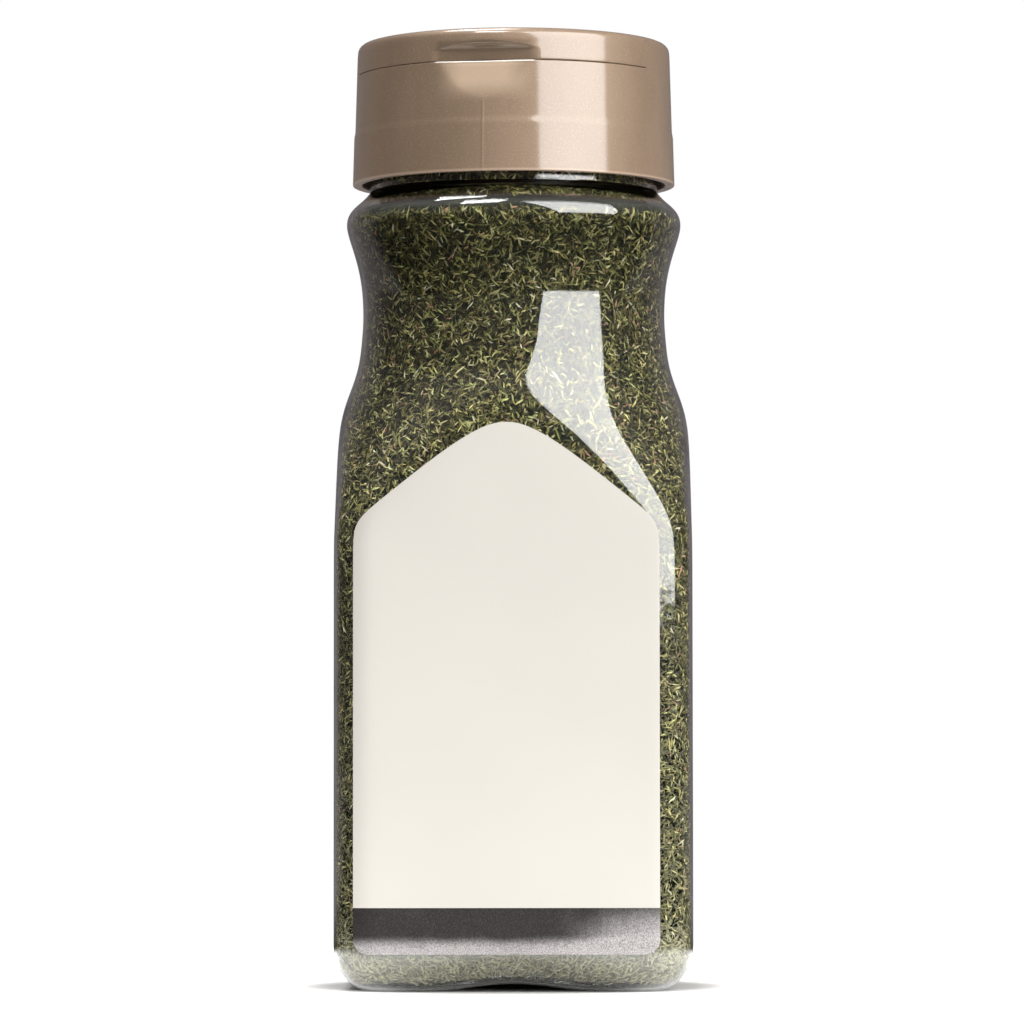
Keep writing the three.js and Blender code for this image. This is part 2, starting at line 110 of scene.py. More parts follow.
def plate(outlines, low, high, edge=0.00012):
    # A flat plate with rounded edges. outlines(e) gives its outline and then its holes',
    # all moved e into the plate
    points, faces, tops, bottoms = [], [], [], []
    tight = outlines(edge)
    for wide, narrow in zip(outlines(0), tight):
        start, count = len(points), len(wide)
        for ring, height in ((narrow, high), (wide, high - edge), (wide, low + edge), (narrow, low)):
            points += [(x, y, height) for x, y in ring]
        for level in range(start, start + 3 * count, count):
            for i in range(count):
                k = (i + 1) % count
                faces.append((level + i, level + k, level + count + k, level + count + i))
        tops += range(start, start + count)
        bottoms += range(start + 3 * count, start + 4 * count)
    for triangle in tessellate_polygon([[Vector((x, y, 0)) for x, y in ring] for ring in tight]):
        faces.append(tuple(tops[i] for i in triangle))
        faces.append(tuple(bottoms[i] for i in triangle))
    return points, faces


def arc(x, y, radius, start, end, count):  # points of a circle about (x, y), between two angles in degrees
    turns = np.radians(np.linspace(start, end, count))
    return [(x + radius * math.cos(turn), y + radius * math.sin(turn)) for turn in turns]


def joined(parts):  # several (points, faces) as one
    points, faces = [], []
    for partPoints, partFaces in parts:
        start = len(points)
        points += [tuple(p) for p in partPoints]
        faces += [tuple(start + i for i in face) for face in partFaces]
    return points, faces


def dress(name, mesh, material, body, node):  # a piece that stands for a node and rides on its body
    mesh.name = name
    mesh.materials.append(material)
    made = newObject(name, mesh)
    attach(made, body)
    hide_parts(node)


class Signal:  # a socket's output in shader maths
    def __init__(self, shader, output):
        self.shader = shader
        self.output = output

    def __add__(self, other):
        return self.shader.maths("ADD", self, other)

    def __radd__(self, other):
        return self.shader.maths("ADD", other, self)

    def __sub__(self, other):
        return self.shader.maths("SUBTRACT", self, other)

    def __rsub__(self, other):
        return self.shader.maths("SUBTRACT", other, self)

    def __mul__(self, other):
        return self.shader.maths("MULTIPLY", self, other)

    def __rmul__(self, other):
        return self.shader.maths("MULTIPLY", other, self)

    def __lt__(self, other):
        return self.shader.maths("LESS_THAN", self, other)

    def between(self, low, high):  # 0 at low, 1 at high, smooth and held beyond them
        sockets = {"Value": self, "From Min": low, "From Max": high}
        return self.shader.node("ShaderNodeMapRange", {"interpolation_type": "SMOOTHSTEP"}, sockets)


class Shader:
    def __init__(self, name, tree=None):
        if tree is None:
            self.material = bpy.data.materials.new(name)
            self.material.use_nodes = True
            tree = self.material.node_tree
        self.tree = tree
        tree.nodes.clear()

    def node(self, kind, settings=None, sockets=None, output=0):
        made = self.tree.nodes.new(kind)
        for name, value in (settings or {}).items():
            setattr(made, name, value)
        for name, value in (sockets or {}).items():
            socket = made.inputs[name]
            if isinstance(value, Signal):
                self.tree.links.new(value.output, socket)
            elif socket.type == "RGBA" and not isinstance(value, (int, float)):
                socket.default_value = (*value, 1)
            else:
                socket.default_value = value
        return Signal(self, made.outputs[output]) if made.outputs else None

    def maths(self, operation, *values):
        return self.node("ShaderNodeMath", {"operation": operation}, dict(enumerate(values)))

    def mixColour(self, factor, first, second, blend="MIX"):
        # On a Mix node set to colours, inputs 6 and 7 are A and B, and output 2 is the result
        settings = {"data_type": "RGBA", "blend_type": blend}
        return self.node("ShaderNodeMix", settings, {0: factor, 6: first, 7: second}, 2)

    def place(self):  # where a point lies on the object, in metres
        return self.node("ShaderNodeTexCoord", output="Object")

    def noise(self, scale, detail=3, roughness=0.5, vector=None, output="Fac"):
        sockets = {"Vector": vector or self.place(), "Scale": scale, "Detail": detail, "Roughness": roughness}
        return self.node("ShaderNodeTexNoise", {}, sockets, output)

    def stretched(self, x, y, z):  # the place with its axes scaled
        return self.node("ShaderNodeVectorMath", {"operation": "MULTIPLY"}, {0: self.place(), 1: (x, y, z)})

    def axis(self, name, vector=None):
        return self.node("ShaderNodeSeparateXYZ", {}, {"Vector": vector or self.place()}, name)

    def ray(self, kind):  # 1 on rays of this kind, 0 on others
        return self.node("ShaderNodeLightPath", output=f"Is {kind} Ray")

    def bump(self, height, strength, distance):
        return self.node("ShaderNodeBump", {}, {"Height": height, "Strength": strength, "Distance": distance})

    def surface(self, **sockets):
        named = {name.replace("_", " "): value for name, value in sockets.items()}
        return self.node("ShaderNodeBsdfPrincipled", {}, named)

    def finish(self, surface):
        self.node("ShaderNodeOutputMaterial", {}, {"Surface": surface})
        return self.material


camera = {  # azimuth, pan, pitch and roll in degrees, lens and sensor in millimetres
    "distance": 1.004, "azimuth": 0.4, "height": 0.0394, "lens": 199.8, "sensor": 36.0,
    "pan": 0.02, "pitch": 2.52, "roll": -0.05,
}


def addCamera():
    data = bpy.data.cameras.new("camera")
    data.lens = camera["lens"]
    data.sensor_width = camera["sensor"]
    made = newObject("camera", data)
    azimuth = math.radians(camera["azimuth"])
    reach = camera["distance"]
    place = Matrix.Translation((reach * math.sin(azimuth), -reach * math.cos(azimuth), camera["height"]))
    yaw = Matrix.Rotation(azimuth + math.radians(camera["pan"]), 4, "Z")
    pitch = Matrix.Rotation(math.radians(90 + camera["pitch"]), 4, "X")
    roll = Matrix.Rotation(math.radians(camera["roll"]), 4, "Z")
    made.matrix_world = place @ yaw @ pitch @ roll
    bpy.context.scene.camera = made


studio = {
    # The floor's grey under and right round the jar, where it doesn't glow, is painted shade on top of the
    # jar's real shadow
    "floorHalf": 20.0, "shadedFloorColour": (0.55, 0.54, 0.53),
    "nearFloor": 0.030, "farFloor": 0.052,  # distances where the floor starts to glow, and is all glow
    "glowRange": (0.24, 0.06), "glowBeyond": (1, 1, 1), "glowNear": (2.6, 2.6, 2.6),  # at those two distances; brighter near the jar, a painted pool of light that lights it from below
    "mirrored": (0.036, 0.10),  # distances over which the glow fades out of the jar's and the cap's gloss
    "mirroredBack": (0.05, 0.3),  # over which the backdrop's colour then takes its place behind the jar
    "around": (0.045, 0.040, 0.040), "behind": (0.17, 0.155, 0.16), "above": (0.21, 0.19, 0.195),
    "below": (0.5, 0.5, 0.48),
    # How far back, up or down a direction points where those three colours begin and are full
    "behindFrom": (0.3, 0.8), "aboveFrom": (0.5, 0.8), "belowFrom": (-0.55, -0.8),
}
lights = {  # azimuth in degrees from the front to the right, size (across, up)
    "softbox": {"azimuth": 44, "distance": 0.75, "height": 0.515, "size": (0.84, 0.97), "power": 12.3},
    "overhead": {"azimuth": -130, "distance": 0.26, "height": 1.13, "size": (0.36, 0.36), "power": 6.5},
    "frontTop": {"azimuth": -22, "distance": 0.55, "height": 0.95, "size": (0.30, 0.26), "power": 3.2},
    "leftFill": {"azimuth": -62, "distance": 1.1, "height": 0.35, "size": (0.5, 0.6), "power": 0.2},
    "leftSide": {"azimuth": -100, "distance": 0.8, "height": 0.30, "size": (0.4, 0.5), "power": 0.5},
    "rightSide": {"azimuth": 100, "distance": 0.8, "height": 0.30, "size": (0.4, 0.5), "power": 0.95},
}
notMirrored = ("leftFill", "leftSide", "rightSide")  # lights that gloss and clear plastic don't show
aim = Vector((0, 0, 0.085))  # of every light, at the middle of the jar


def addLight(name, azimuth, distance, height, size, power):
    data = bpy.data.lights.new(name, "AREA")
    data.shape = "RECTANGLE"
    data.size, data.size_y = size
    data.energy = power
    made = newObject(name, data)
    turn = math.radians(azimuth)
    made.location = (distance * math.sin(turn), -distance * math.cos(turn), height)
    made.rotation_euler = (aim - made.location).to_track_quat("-Z", "Y").to_euler()
    made.visible_camera = False
    made.visible_glossy = made.visible_transmission = name not in notMirrored


def addStudio():
    half = studio["floorHalf"]
    corners = [(-half, -half, 0), (half, -half, 0), (half, half, 0), (-half, half, 0)]
    ground = bpy.data.meshes.new("floor")
    ground.from_pydata(corners, [], [(0, 1, 2, 3)])
    floor = newObject("floor", ground)
    shader = Shader("paleFloor")
    distance = shader.node("ShaderNodeVectorMath", {"operation": "LENGTH"}, {0: shader.place()}, "Value")
    # painted shade: the floor under and right round the jar is grey
    diffuse = shader.node("ShaderNodeBsdfDiffuse", {}, {"Color": studio["shadedFloorColour"]})
    # painted light: the floor glows brighter near the jar, a pool of light that lights the jar from below
    light = shader.mixColour(distance.between(*studio["glowRange"]), studio["glowBeyond"], studio["glowNear"])
    mirrored = shader.maths("MAXIMUM", shader.ray("Glossy"), shader.ray("Transmission"))
    behind = shader.axis("Y").between(*studio["mirroredBack"])
    backdrop = shader.mixColour(behind, (0, 0, 0), studio["behind"])
    light = shader.mixColour(mirrored * distance.between(*studio["mirrored"]), light, backdrop)
    glow = shader.node("ShaderNodeEmission", {}, {"Color": light, "Strength": 1.0})
    glowing = distance.between(studio["nearFloor"], studio["farFloor"])
    surface = shader.node("ShaderNodeMixShader", {}, {0: glowing, 1: diffuse, 2: glow})
    floor.data.materials.append(shader.finish(surface))

    world = bpy.data.worlds.new("studio")
    bpy.context.scene.world = world
    world.use_nodes = True
    air = Shader("studio", world.node_tree)
    direction = air.node("ShaderNodeTexCoord", output="Generated")
    room = studio["around"]
    for side, axis in (("behind", "Y"), ("above", "Z"), ("below", "Z")):
        turned = air.axis(axis, direction).between(*studio[side + "From"])
        room = air.mixColour(turned, room, studio[side])
    colour = air.mixColour(air.ray("Camera"), room, (1, 1, 1))
    background = air.node("ShaderNodeBackground", {}, {"Color": colour, "Strength": 1.0})
    air.node("ShaderNodeOutputWorld", {}, {"Surface": background})
    for name, light in lights.items():
        addLight(name, **light)
    bpy.context.scene.view_settings.view_transform = "Standard"


addCamera()
addStudio()
print("camera, floor and lights made")


jar = {
    "halfWidth": 0.03095, "cornerRadius": 0.007, "wall": 0.0004,
    "waist": (0.108, 0.118), "creaseSharpness": (30, 16),  # sharpness of the grip's crease below and above it
    "heelRadius": 0.008, "archRise": 0.0012, "archHalfSpan": 0.020,
    "footWidth": 0.003, "footStep": 0.0003, "pushUpRise": 0.006,
    "gripProfile": [  # (height, radius) from the panels up to the shoulder ring and the neck
        (0.060, 0.060), (0.076, 0.0446), (0.0848, 0.0389), (0.092, 0.0352), (0.0978, 0.0323),
        (0.1031, 0.0298), (0.1084, 0.02775), (0.1138, 0.02695), (0.1185, 0.0268), (0.1244, 0.0273),
        (0.1296, 0.02885), (0.1324, 0.03015), (0.1340, 0.0307), (0.1354, 0.0304), (0.1370, 0.0289),
        (0.1382, 0.0273), (0.1393, 0.0261), (0.1401, 0.02545),
    ],
    "neckFoot": 0.1401, "neckRadius": 0.02545, "neckBore": 0.024, "mouthHeight": 0.1594, "lipRound": 0.0004,
    "threadCrest": 0.02615, "threadFoot": 0.1476,
    "columnsPerSide": 50, "crowding": 1.4,  # columns of faces, crowded towards the corners
    "panelTop": 0.062, "shoulderFoot": 0.130,  # between these two heights the rows are close together
    "outerRows": 0.0011, "innerRows": 0.0016, "neckRows": 0.00027,  # from row to row
    "innerTop": 0.1388,  # where the inner wall runs into the bore of the neck
    "plastic": (0.975, 0.985, 0.975), "shadow": (0.93, 0.94, 0.93),  # light let through, seen and in shadow
}
thread = {"pitch": 0.005, "turns": 1.3, "width": 0.002, "fade": 0.12, "roundness": 0.6}  # fade is in turns
gripRadius = smoothCurve(jar["gripProfile"])


def squareRadius(angle, halfWidth, corner):  # of the rounded square of the body
    across = np.maximum(abs(np.cos(angle)), abs(np.sin(angle)))
    along = np.minimum(abs(np.cos(angle)), abs(np.sin(angle)))
    centre = halfWidth - corner
    reach = np.maximum(0, corner ** 2 - (centre * (across - along)) ** 2)
    rounded = centre * (across + along) + np.sqrt(reach)
    return np.where(halfWidth * along / across <= centre, halfWidth / across, rounded)


def bodyRadius(angle, height, inset=0.0):
    power = -np.interp(smoothStep(*jar["waist"], height), (0, 1), jar["creaseSharpness"])
    cornerInset = np.minimum(inset, 0.002)  # so that deeper layers keep a round corner
    square = squareRadius(angle, jar["halfWidth"] - inset, jar["cornerRadius"] - cornerInset)
    grip = gripRadius(height) - inset
    scale = 0.03  # keeps the powers near 1
    return scale * ((square / scale) ** power + (grip / scale) ** power) ** (1 / power)


def footRise(angle):  # of the base edge, which arches between the four feet
    sine, cosine = abs(np.sin(angle)) + 1e-9, abs(np.cos(angle)) + 1e-9
    side = jar["halfWidth"] * np.minimum(sine / cosine, cosine / sine)
    share = np.minimum(side / jar["archHalfSpan"], 1)
    return jar["archRise"] * np.cos(0.5 * np.pi * share) ** 2


def heelReach(angle):  # radius of the base inside its rounded heel
    return bodyRadius(angle, jar["heelRadius"]) - jar["heelRadius"]


def pushUp(angle, radius):  # height of the base's underside inside its feet
    reach = heelReach(angle) - jar["footWidth"]
    share = np.minimum(radius / reach, 1)
    return jar["pushUpRise"] * (1 - share ** 2) + footRise(angle) * share ** 2


def ringOf(angle, radius, height):
    return atHeight(radius * np.cos(angle), radius * np.sin(angle), height)


def threadRise(angle, height, foot):  # 0 to 1 over a helical ridge that fades in and out
    rise = np.zeros(np.shape(angle))
    for lap in range(2):
        turns = (angle / (2 * np.pi)) % 1 + lap
        fadeIn = smoothStep(0, thread["fade"], turns)
        fadeOut = smoothStep(thread["turns"], thread["turns"] - thread["fade"], turns)
        across = (height - foot - thread["pitch"] * turns) / (0.5 * thread["width"])
        ridge = np.maximum(0, 1 - across ** 2) ** thread["roundness"]
        rise = np.maximum(rise, fadeIn * fadeOut * ridge)
    return rise


def bodyAngles():  # round the body, closer together at its corners
    across = np.arange(jar["columnsPerSide"]) * 2 / jar["columnsPerSide"] - 1
    warped = 45 * np.sign(across) * abs(across) ** jar["crowding"]
    return np.radians(np.concatenate([90 * side + 45 + warped for side in range(4)]))


def jarRings(angle, inset, spacing):  # from the centre of the base up to the foot of the neck
    heel = jar["heelRadius"]
    reach = heelReach(angle) - jar["footWidth"]
    rings = []
    for share in (0.02, 0.2, 0.4, 0.6, 0.75, 0.88, 0.97):
        step = jar["footStep"] if share > 0.9 else 0  # the push-up ends in a small step down to the feet
        rings.append(ringOf(angle, reach * share, pushUp(angle, reach * share) + inset + step))
    rings.append(ringOf(angle, reach + 0.0002, footRise(angle) + inset))
    for turn in np.radians(np.linspace(0, 90, 13)):
        radius = heelReach(angle) + (heel - inset) * math.sin(turn)
        low = footRise(angle) + inset
        rings.append(ringOf(angle, radius, heel - (heel - low) * math.cos(turn)))
    panelTop, shoulderFoot = jar["panelTop"], jar["shoulderFoot"]
    stretches = [(heel, panelTop, 7 * spacing), (panelTop, shoulderFoot, spacing)]
    stretches.append((shoulderFoot, jar["neckFoot"], 0.4 * spacing))
    for low, high, step in stretches:
        for height in np.linspace(low, high, round((high - low) / step) + 1)[1:]:
            rings.append(ringOf(angle, bodyRadius(angle, height, inset), height))
    return rings


def clearPlastic():
    shader = Shader("clearPlastic")
    ripple = shader.noise(45, 2) + 0.15 * shader.noise(260, 2)
    wall = shader.surface(
        Base_Color=jar["plastic"], Roughness=0.035, IOR=1.68, Transmission_Weight=1.0,
        Normal=shader.bump(ripple, 0.35, 0.0002),
    )
    lit = shader.node("ShaderNodeBsdfTransparent", {}, {"Color": jar["shadow"]})
    return shader.finish(shader.node("ShaderNodeMixShader", {}, {0: shader.ray("Shadow"), 1: wall, 2: lit}))


def makeJar():
    angle = bodyAngles()
    neck, bore, lip = jar["neckRadius"], jar["neckBore"], jar["lipRound"]
    top = jar["mouthHeight"] - lip
    rings = jarRings(angle, 0.0, jar["outerRows"])
    for height in np.arange(jar["neckFoot"] + 0.0003, top, jar["neckRows"]):
        ridge = (jar["threadCrest"] - neck) * threadRise(angle, height, jar["threadFoot"])
        rings.append(ringOf(angle, neck + ridge, height))
    for turn in np.radians(np.linspace(0, 180, 9)):
        middle = (neck + bore) / 2
        rings.append(ringOf(angle, middle + (neck - middle) * math.cos(turn), top + lip * math.sin(turn)))
    rings += [ringOf(angle, bore, height) for height in np.linspace(top, jar["neckFoot"], 7)[1:]]
    inner = jarRings(angle, jar["wall"], jar["innerRows"])
    rings += [ring for ring in inner if ring[0][2] < jar["innerTop"]][::-1]
    dress("clearJar", meshFrom(*loft(rings)), clearPlastic(), "jar", "jar")


makeJar()
print("jar made")


dill = {
    "wallGap": 0.00006,  # from the jar's inner wall to the nearest flakes
    "depth": 0.0011, "crowding": 1.2,  # over which the flakes lie behind that, more of them close to the wall
    "coreDepth": 0.0010, "coreBumps": 0.0004,  # of the dark core behind the inner wall, painted shade for the fill's depths
    # the core's two dark colours are painted shade
    "coreShadeColours": ((0.008, 0.010, 0.004), (0.05, 0.055, 0.022)), "coreHazeColour": (0.34, 0.33, 0.23),
    "coreHazeHeights": (0.011, 0.006),  # heights where the core starts to take the pale haze colour, and is all haze: painted reflection and painted light from the floor
    "gap": (0.1350, 0.1372),  # heights of the air under the shoulder, which the fill has sunk away from
    "rimHeight": 0.1465, "mound": 0.0024, "heap": 0.0006,  # of the fill's top, and of the flakes over it
    "rimGap": 0.0012, "floorGap": 0.0004,  # room between the flakes and the bore, and over the base's edge
    "sideFlakes": 155000, "topFlakes": 7000, "baseFlakes": 5000, "curledFlakes": 1200,
    "length": 0.0014, "lengthSpread": 0.38, "lengths": (0.0005, 0.0048), "width": (0.00019, 0.00038),
    "tilt": 14,  # degrees
    "sag": 18,  # times its length squared, how much deeper a flake lies to clear the curved wall
    "curledLengths": (0.0022, 0.0042), "curledWidth": 0.9, "curledDepth": 0.6, "curl": 1.3,
    "behindLabel": 0.12, "labelEdge": 0.0012,  # share of the flakes kept there, this far in from its edge
    "colours": {  # colour and its share; the darkest, shade, is painted shade standing for the shaded gaps
        "shade": ((0.038, 0.034, 0.010), 0.30), "olive": ((0.125, 0.115, 0.037), 0.28),
        "sage": ((0.31, 0.29, 0.10), 0.22), "pale": ((0.56, 0.53, 0.23), 0.13),
        "straw": ((0.66, 0.59, 0.31), 0.035), "stalk": ((0.76, 0.72, 0.52), 0.02),
        "husk": ((0.52, 0.29, 0.19), 0.015),
    },
    "toneSpread": (0.6, 1.4), "hueSpread": (0.92, 1.08),
    "deepShade": 0.8,  # painted shade: how much darker the deepest flakes are
    "baseShade": 0.7,  # painted shade on the flakes under the fill
    # The share of a pale haze, painted reflection and painted light from the floor, and a factor of painted
    # light and shade on the flakes' colours, each by height
    "hazeColour": (0.60, 0.58, 0.42), "hazeShares": [(0.007, 0.85), (0.013, 0.25), (0.05, 0.15), (0.10, 0)],
    "lightAndShadeByHeight": [(0.05, 1.12), (0.09, 1.0), (0.125, 0.76), (0.1350, 0.8), (0.1372, 1.25)],
}
label = {
    "halfWidth": 0.0262, "shift": -0.0011,  # from the middle of the panel
    "foot": 0.0065, "peak": 0.0977, "peakRound": 0.0061, "slope": 1.166, "corner": 0.0026,
    "eavesSharpness": 22, "lift": 0.00004, "thickness": 0.00016, "bandTop": 0.0145,
    "paper": ((0.475, 0.452, 0.41), (0.487, 0.464, 0.42)), "speck": (0.42, 0.39, 0.32),
    # The foil's two colours are its own dark grey and a pale painted reflection, which the sheens below lay
    # on it
    "foil": ((0.05, 0.045, 0.045), (0.55, 0.53, 0.52)), "foilGrain": (0.45, 0.42, 0.42),
    "footPaintedSheen": (0.0102, 0.0074), "rightPaintedSheen": (0.006, 0.022), "rightPaintedSheenTop": (0.0175, 0.0085),
}


def labelReach(height):  # half width of the label: sloping edges that meet in a round peak
    drop = np.maximum(label["peak"] - height, 0)
    roof = label["slope"] * np.sqrt(drop ** 2 + 2 * label["peakRound"] * drop) + 1e-5
    power = -label["eavesSharpness"]
    house = label["halfWidth"] * ((roof / label["halfWidth"]) ** power + 1) ** (1 / power)
    fall = np.maximum(label["foot"] + label["corner"] - height, 0)
    cut = label["corner"] - np.sqrt(np.maximum(label["corner"] ** 2 - fall ** 2, 0))
    return house - cut


def fillRadius(angle, height, inset):  # of the fill's side, set in from the jar's outside
    heel = jar["heelRadius"]
    lift = np.clip((heel - height) / (heel - footRise(angle) - inset), 0, 1)
    tuck = (heel - inset) * (1 - np.sqrt(1 - lift ** 2))
    neck = jar["neckBore"] - (inset - jar["wall"])
    return np.where(height < dill["gap"][1], bodyRadius(angle, height, inset) - tuck, neck)


def flakePlaces(random, count):  # angles and heights spread evenly over the fill's side
    angleEdges = np.linspace(0, 2 * np.pi, 721)
    margin = 0.0012  # from the ground up to the first row, and from the rim up to the last
    heightEdges = np.linspace(margin, dill["rimHeight"] + margin, 301)
    angle, height = np.meshgrid(angleEdges[:-1], heightEdges[:-1], indexing="ij")
    inset = jar["wall"] + dill["wallGap"]
    radius = fillRadius(angle, height, inset)
    rise = np.diff(fillRadius(angleEdges[:-1, None], heightEdges, inset), axis=1)
    rise = np.where(abs(rise) > 0.002, 0, rise)  # the jump from the shoulder to the neck is no face
    area = radius * np.hypot(rise, heightEdges[1] - heightEdges[0])
    area *= (height < dill["gap"][0]) | (height > dill["gap"][1])
    area *= height > footRise(angle) + inset + dill["floorGap"]
    across = abs(radius * np.cos(angle) - label["shift"])
    edge = dill["labelEdge"]
    hidden = (height > label["foot"] + edge) & (across < labelReach(height + edge) - edge)
    hidden &= np.sin(angle) < 0
    area *= np.where(hidden, dill["behindLabel"], 1)
    share = np.cumsum(area.ravel())
    cell = np.searchsorted(share, random.uniform(0, share[-1], count))
    angle = angle.ravel()[cell] + random.uniform(0, angleEdges[1], count)
    return angle, height.ravel()[cell] + random.uniform(0, heightEdges[1] - heightEdges[0], count)


def unit(vectors):
    return vectors / np.linalg.norm(vectors, axis=-1, keepdims=True)


def framesOn(surface, u, v):  # points of a surface with their outward, level and rising directions
    aside, down = 0.002, 0.0001  # steps along it for its two slopes
    point = surface(u, v)
    level = unit(surface(u + aside, v) - surface(u - aside, v))
    rising = unit(point - surface(u, v - down))
    return point, unit(np.cross(level, rising)), level, rising


def flakeColours(random, count):
    colours = np.array([colour for colour, _ in dill["colours"].values()])
    shares = np.array([share for _, share in dill["colours"].values()])
    chosen = colours[random.choice(len(colours), count, p=shares / shares.sum())]
    tones = random.uniform(*dill["toneSpread"], (count, 1))
    return chosen * tones * random.uniform(*dill["hueSpread"], (count, 3))


def directions(random, outward, level, rising):  # each flake's way along, across and outward
    count = len(outward)
    turn = random.uniform(0, np.pi, (count, 1))
    tilt = np.radians(random.normal(0, dill["tilt"], (count, 1)))
    flat = level * np.cos(turn) + rising * np.sin(turn)
    along = flat * np.cos(tilt) + outward * np.sin(tilt)
    across = unit(np.cross(outward, along))
    return along, across, np.cross(along, across), abs(np.sin(tilt[:, 0]))


flakeShape = np.array([  # along, across and outward, in half lengths, widths and widths
    (-1, -0.15, -0.25), (1, 0.15, -0.25), (-0.35, 0.5, 0.2), (0.4, -0.5, 0.2),
])
flakeFaces = np.array([(0, 3, 2), (1, 2, 3), (0, 2, 1), (0, 1, 3)])


def settle(point, outward, depth, thickness, steep, length):  # middles of flakes behind the wall, and their painted shade, darker the deeper they lie
    deep = thickness + depth + steep * length / 2 + dill["sag"] * length ** 2
    return point - outward * deep[:, None], 1 - dill["deepShade"] * depth / dill["depth"]


def straightFlakes(random, point, outward, level, rising):
    count = len(point)
    length = dill["length"] * np.exp(random.normal(0, dill["lengthSpread"], count))
    length = np.clip(length, *dill["lengths"])
    width = random.uniform(*dill["width"], count) * (0.7 + 0.3 * length / dill["length"]) ** 0.5
    along, across, lift, steep = directions(random, outward, level, rising)
    depth = dill["depth"] * random.uniform(0, 1, count) ** dill["crowding"]
    middle, shade = settle(point, outward, depth, 0.25 * width, steep, length)
    shape = flakeShape[None]
    points = (middle[:, None] + shape[..., :1] * (along * length[:, None] / 2)[:, None]
              + shape[..., 1:2] * (across * width[:, None])[:, None]
              + shape[..., 2:] * (lift * width[:, None])[:, None])
    return points, flakeFaces, shade


def curledFlakes(random, point, outward, level, rising):  # longer flakes: bent tubes with three sides
    count, rings = len(point), 4
    length = random.uniform(*dill["curledLengths"], count)
    width = random.uniform(*dill["width"], count) * dill["curledWidth"]
    along, across, lift, steep = directions(random, outward, level, rising)
    bend = random.uniform(-dill["curl"], dill["curl"], count)
    depth = dill["depth"] * random.uniform(0, dill["curledDepth"], count)
    middle, shade = settle(point, outward, depth, 0.5 * width, steep, length)
    points = []
    for ring in range(rings + 2):
        way = ring / (rings + 1) - 0.5
        taper = 0 if ring in (0, rings + 1) else 0.5
        forward, sideways = length * way, length * bend * (way ** 2 - 0.08)
        centre = middle + along * forward[:, None] + across * sideways[:, None]
        for corner in range(1 if taper == 0 else 3):
            turn = 2 * math.pi * corner / 3
            spoke = across * math.cos(turn) + lift * math.sin(turn)
            points.append(centre + spoke * (taper * width)[:, None])
    faces = []
    for corner in range(3):
        after = (corner + 1) % 3
        faces.append((0, 1 + after, 1 + corner))
        for ring in range(rings - 1):
            a, b = 1 + 3 * ring + corner, 1 + 3 * ring + after
            faces += [(a, b, b + 3), (a, b + 3, a + 3)]
        last = 1 + 3 * (rings - 1)
        faces.append((last + 3, last + corner, last + after))
    return np.stack(points, 1), np.array(faces), shade


def flakeMesh(groups):  # one mesh of many small closed flakes, with a colour for each
    points, triangles, colours, start = [], [], [], 0
    for flakes, faces, tints in groups:
        count, size = flakes.shape[:2]
        points.append(flakes.reshape(-1, 3))
        triangles.append((start + size * np.arange(count)[:, None, None] + faces[None]).reshape(-1, 3))
        colours.append(np.repeat(tints, size, axis=0))
        start += count * size
    points, triangles, colours = np.concatenate(points), np.concatenate(triangles), np.concatenate(colours)
    mesh = bpy.data.meshes.new("flakes")
    mesh.vertices.add(len(points))
    mesh.vertices.foreach_set("co", points.astype(np.float32).ravel())
    mesh.loops.add(triangles.size)
    mesh.loops.foreach_set("vertex_index", triangles.astype(np.int32).ravel())
    mesh.polygons.add(len(triangles))
    mesh.polygons.foreach_set("loop_start", np.arange(0, triangles.size, 3, dtype=np.int32))
    mesh.update(calc_edges=True)
    mesh.shade_flat()
    tint = mesh.color_attributes.new("flakeColour", "FLOAT_COLOR", "POINT")
    opaque = np.column_stack([colours, np.ones(len(points))])
    tint.data.foreach_set("color", opaque.astype(np.float32).ravel())
    return mesh


def driedDill():
    shader = Shader("driedDill")
    tint = shader.node("ShaderNodeAttribute", {"attribute_name": "flakeColour"}, output="Color")
    mottle = shader.noise(1500, 2)
    colour = shader.mixColour(mottle.between(0.35, 0.75), tint, (1.0, 0.96, 0.80), "MULTIPLY")
    return shader.finish(shader.surface(Base_Color=colour, Roughness=0.62, Specular_IOR_Level=0.35))


# The dark core's colour is painted shade: it stands for the shaded depths of the fill between the flakes
def paintedDillShade():
    shader = Shader("paintedDillShade")
    crumbs = shader.noise(900, 4, 0.7)
    colour = shader.mixColour(crumbs.between(0.45, 0.75), *dill["coreShadeColours"])
    # paler towards the bottom: a haze of painted reflection and painted light from the floor
    colour = shader.mixColour(shader.axis("Z").between(*dill["coreHazeHeights"]), colour, dill["coreHazeColour"])
    bump = shader.bump(crumbs, 1.0, 0.0006)
    return shader.finish(shader.surface(Base_Color=colour, Roughness=0.9, Normal=bump))


def moundHeight(radius):
    return dill["rimHeight"] + dill["mound"] * (1 - (radius / jar["neckBore"]) ** 2)


def topSurface(angle, radius):  # wound so that its outside is up
    return ringOf(-angle, radius, moundHeight(radius) + dill["heap"])


def baseSurface(angle, radius, lift=0.0001):  # over the jar's inside, on which the fill stands
    return ringOf(angle, radius, jar["wall"] + pushUp(angle, radius) + lift)


